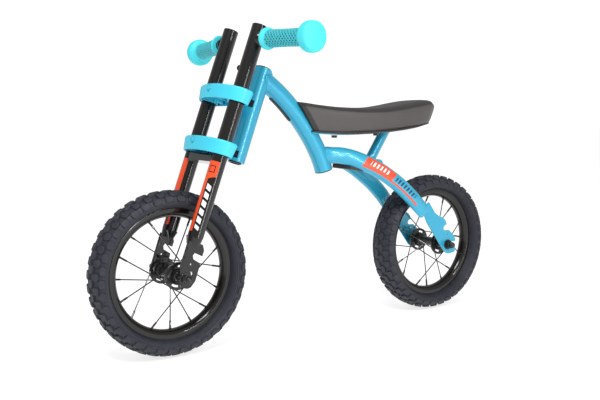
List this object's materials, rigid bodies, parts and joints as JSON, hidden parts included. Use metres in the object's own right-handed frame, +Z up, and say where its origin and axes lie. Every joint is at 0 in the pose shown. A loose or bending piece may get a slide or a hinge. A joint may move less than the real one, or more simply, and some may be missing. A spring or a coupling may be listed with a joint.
{
  "type": "balance bike",
  "caption": "Child's two-wheeled balance bike with a motocross-style fork, low saddle, curved frame tube and laced wheels.",
  "frame": {"origin": "on the ground, half way between the two wheels, in the bike's middle plane", "axes": "+X forward, +Y to the rider's left, +Z up"},
  "size_m": [0.949, 0.4354, 0.6042],
  "materials": {
    "blue_paint": "gloss metallic light blue paint on steel tube",
    "black_paint": "gloss charcoal black paint on steel tube",
    "crown_plastic": "satin light blue moulded plastic",
    "grip_rubber": "soft light blue rubber with rows of small holes",
    "tyre_rubber": "matt blue-black knobbly rubber",
    "rim_metal": "gloss black-brown painted rim",
    "black_metal": "semi-gloss black coated metal",
    "bright_steel": "plain zinc-plated steel",
    "black_plastic": "matt black moulded plastic",
    "saddle_skin": "charcoal synthetic leather with a fine grain"
  },
  "bodies": {
    "frame": {"head_tube": "blue_paint", "main_tube": "blue_paint", "main_tube_plug": "black_plastic", "upper_steering_bearing": "bright_steel", "lower_steering_bearing": "bright_steel", "tube_pad": "black_plastic", "stay_left": "blue_paint", "stay_right": "blue_paint", "rear_plate_left": "blue_paint", "rear_plate_right": "blue_paint", "stay_bridge": "blue_paint", "seat_strut": "blue_paint", "foot_plate": "black_plastic", "rear_axle": "bright_steel", "rear_spacer_left": "black_metal", "rear_spacer_right": "black_metal", "rear_nut_left": "black_metal", "rear_nut_right": "black_metal", "seat_pad": "saddle_skin", "seat_base": "black_plastic", "seat_plate": "blue_paint", "seat_screw_front": "bright_steel", "seat_screw_rear": "bright_steel"},
    "fork": {"leg_left": "black_paint", "leg_right": "black_paint", "fork_end_left": "black_paint", "fork_end_right": "black_paint", "bar_left": "black_paint", "bar_right": "black_paint", "grip_left": "grip_rubber", "grip_right": "grip_rubber", "crown_bottom": "crown_plastic", "crown_top": "crown_plastic", "crown_screw_bottom": "bright_steel", "crown_screw_top": "bright_steel", "crown_cover_bottom": "crown_plastic", "crown_cover_top": "crown_plastic", "steerer": "bright_steel", "steerer_cap": "black_plastic", "fork_bridge": "black_paint", "leg_button": "black_plastic", "front_axle": "bright_steel", "front_spacer_left": "black_metal", "front_spacer_right": "black_metal", "front_nut_left": "black_metal", "front_nut_right": "black_metal"},
    "front_wheel": {"front_tyre": "tyre_rubber", "front_rim": "rim_metal", "front_hub": "black_metal", "front_spokes_left": "black_metal", "front_spokes_right": "black_metal", "front_bearing_left": "bright_steel", "front_bearing_right": "bright_steel"},
    "rear_wheel": {"rear_tyre": "tyre_rubber", "rear_rim": "rim_metal", "rear_hub": "black_metal", "rear_spokes_left": "black_metal", "rear_spokes_right": "black_metal", "rear_bearing_left": "bright_steel", "rear_bearing_right": "bright_steel"}
  },
  "joints": [
    {"name": "steering", "type": "hinge", "parent": "frame", "child": "fork", "pos_m": [0.1616, 0, 0.4127], "axis": [-0.342, 0, 0.9397], "range_deg": [-35, 35]},
    {"name": "front_wheel_spin", "type": "hinge", "parent": "fork", "child": "front_wheel", "pos_m": [0.3225, 0, 0.152], "axis": [0, 1, 0], "continuous": true},
    {"name": "rear_wheel_spin", "type": "hinge", "parent": "frame", "child": "rear_wheel", "pos_m": [-0.3225, 0, 0.152], "axis": [0, 1, 0], "continuous": true}
  ]
}
